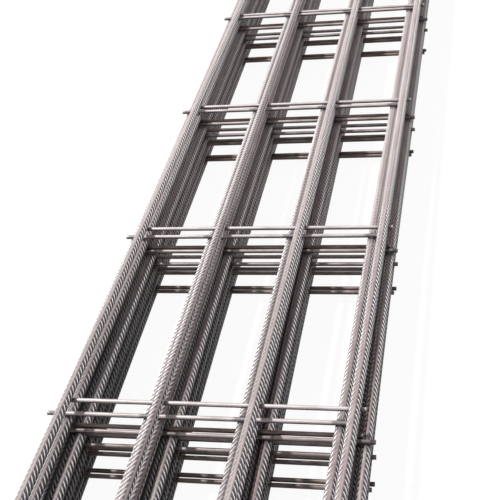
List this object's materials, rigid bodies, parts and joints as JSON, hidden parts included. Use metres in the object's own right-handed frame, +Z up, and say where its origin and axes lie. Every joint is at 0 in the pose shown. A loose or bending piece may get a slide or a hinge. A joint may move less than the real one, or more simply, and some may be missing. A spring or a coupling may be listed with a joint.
{
  "type": "trench mesh bundle",
  "caption": "Bundle of welded trench mesh sheets, ribbed main bars and thin cross wires, nested wire side to wire side, for footing reinforcement.",
  "frame": {"origin": "on the ground under the middle of the bundle's box", "axes": "+X across the sheets, +Y along the main bars away from the near end, +Z up"},
  "size_m": [0.353, 6.032, 0.1211],
  "materials": {
    "mesh_steel": "cold-rolled ribbed steel, dull grey with a faint brown bloom"
  },
  "bodies": {
    "root": {"mesh_sheet_01": "mesh_steel", "mesh_sheet_02": "mesh_steel", "mesh_sheet_03": "mesh_steel", "mesh_sheet_04": "mesh_steel", "mesh_sheet_05": "mesh_steel", "mesh_sheet_06": "mesh_steel", "mesh_sheet_07": "mesh_steel", "mesh_sheet_08": "mesh_steel", "mesh_sheet_09": "mesh_steel", "mesh_sheet_10": "mesh_steel"}
  },
  "joints": []
}
